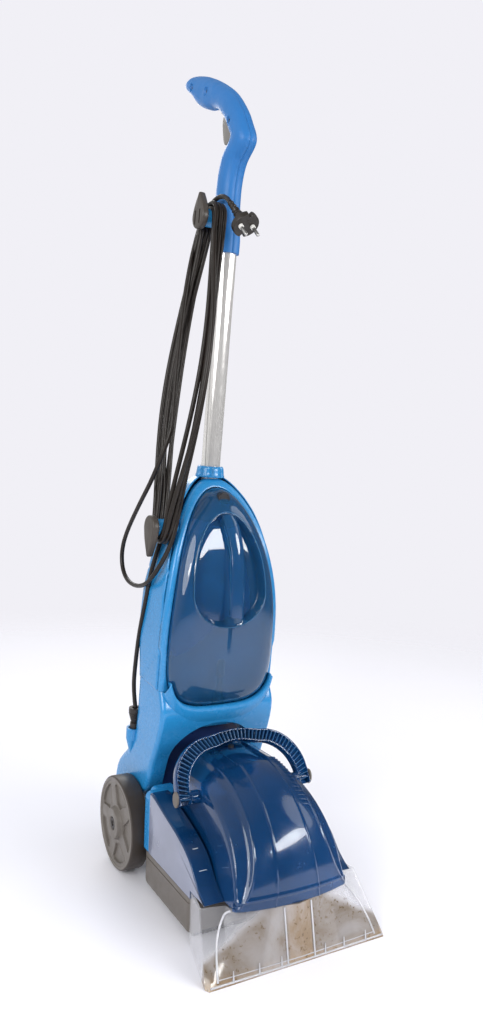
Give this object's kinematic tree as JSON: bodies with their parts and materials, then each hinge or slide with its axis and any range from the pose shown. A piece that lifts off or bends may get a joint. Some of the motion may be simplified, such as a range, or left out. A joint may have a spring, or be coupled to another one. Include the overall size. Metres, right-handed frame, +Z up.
{
  "type": "carpet cleaner machine",
  "caption": "Upright carpet washer with a wheeled base, lift-out dirty water tank, clear suction nozzle, clean water tank, steel tube, looped grip and a cord wound on hooks.",
  "frame": {"origin": "on the floor under the middle of the machine", "axes": "+Z up, -Y towards the nozzle, +X towards the right wheel as seen by whoever stands behind the handle"},
  "size_m": [0.2536, 0.3905, 1.1795],
  "materials": {
    "body_blue": "gloss",
    "taupe": "satin",
    "tank_blue": "gloss",
    "clear_nozzle": "gloss",
    "black_rubber": "matte",
    "dark_plastic": "satin",
    "steel": "satin",
    "chrome_tube": "polished",
    "pale_plastic": "satin"
  },
  "bodies": {
    "base": {"base_pan": "taupe", "base_cover": "body_blue", "wheel_axle": "steel", "axle_clips": "steel", "base_screws": "steel", "brush_strip": "dark_plastic", "spray_bar": "dark_plastic", "nozzle_front": "clear_nozzle", "nozzle_back": "clear_nozzle"},
    "left_wheel": {"left_wheel": "taupe", "left_hub_cap": "dark_plastic"},
    "right_wheel": {"right_wheel": "taupe", "right_hub_cap": "dark_plastic"},
    "dirty_tank": {"tank_tub": "tank_blue", "tank_hood": "tank_blue", "tank_gasket": "black_rubber", "float_ball": "pale_plastic", "bail_caps": "taupe"},
    "tank_latch": {"tank_latch": "dark_plastic"},
    "tank_bail": {"tank_bail": "tank_blue"},
    "upright": {"yoke": "body_blue", "rear_cover": "body_blue", "rear_shell": "body_blue", "front_ring": "body_blue", "shell_screws": "steel", "motor_cover": "dark_plastic", "suction_duct": "dark_plastic", "motor": "dark_plastic", "fan_housing": "dark_plastic", "water_pump": "dark_plastic", "valve_seat": "dark_plastic", "tube_collar": "body_blue", "tube_screw": "steel", "handle_tube": "chrome_tube", "rod_guide": "dark_plastic", "handle_left": "body_blue", "handle_right": "body_blue", "handle_screws": "steel", "upper_post": "body_blue", "lower_post": "body_blue", "lower_hook": "taupe", "cord_grommet": "black_rubber", "cord_tail": "black_rubber", "cord_hank": "black_rubber", "cord_slack": "black_rubber", "cord_lead": "black_rubber", "plug_body": "black_rubber", "plug_pins": "steel"},
    "power_switch": {"power_switch": "dark_plastic"},
    "clean_tank": {"clean_tank": "tank_blue", "fill_cap": "dark_plastic"},
    "release_button": {"release_button": "dark_plastic"},
    "trigger": {"trigger": "taupe"},
    "pull_rod": {"pull_rod": "steel"},
    "upper_hook": {"upper_hook": "taupe"}
  },
  "joints": [
    {"name": "left_wheel_spin", "type": "hinge", "parent": "base", "child": "left_wheel", "pos_m": [0, 0.10425, 0.065], "axis": [1, 0, 0], "continuous": true},
    {"name": "right_wheel_spin", "type": "hinge", "parent": "base", "child": "right_wheel", "pos_m": [0, 0.10425, 0.065], "axis": [1, 0, 0], "continuous": true},
    {"name": "dirty_tank_lift", "type": "slide", "parent": "base", "child": "dirty_tank", "axis": [0, 0, 1], "range_m": [0, 0.04]},
    {"name": "latch_slide", "type": "slide", "parent": "dirty_tank", "child": "tank_latch", "axis": [0, -1, 0], "range_m": [0, 0.004], "stiffness_N_per_m": 150},
    {"name": "bail_swing", "type": "hinge", "parent": "dirty_tank", "child": "tank_bail", "pos_m": [0, -0.05275, 0.1555], "axis": [1, 0, 0], "range_deg": [0, 65]},
    {"name": "upright_recline", "type": "hinge", "parent": "base", "child": "upright", "pos_m": [0, 0.10425, 0.065], "axis": [-1, 0, 0], "range_deg": [0, 55]},
    {"name": "switch_rock", "type": "hinge", "parent": "upright", "child": "power_switch", "pos_m": [0, 0.11389, 0.49975], "axis": [1, 0, 0], "range_deg": [-4, 4]},
    {"name": "clean_tank_slide", "type": "slide", "parent": "upright", "child": "clean_tank", "axis": [0, -0.9957, -0.0924], "range_m": [0, 0.06]},
    {"name": "button_press", "type": "slide", "parent": "clean_tank", "child": "release_button", "axis": [0, 0.9957, 0.0924], "range_m": [0, 0.003], "stiffness_N_per_m": 300},
    {"name": "trigger_pull", "type": "hinge", "parent": "upright", "child": "trigger", "pos_m": [0, 0.0572, 1.081], "axis": [-1, 0, 0], "range_deg": [0, 6], "stiffness_Nm_per_rad": 0.6},
    {"name": "rod_pull", "type": "slide", "parent": "upright", "child": "pull_rod", "axis": [0, -0.0924, 0.9957], "range_m": [0, 0.003]},
    {"name": "upper_hook_turn", "type": "hinge", "parent": "upright", "child": "upper_hook", "pos_m": [-0.04, 0.03866, 0.92361], "axis": [1, 0, 0], "range_deg": [0, 180]}
  ],
  "couplings": [
    {"joint": "trigger_pull", "follows": "rod_pull", "rad_per_m": 33.333}
  ]
}
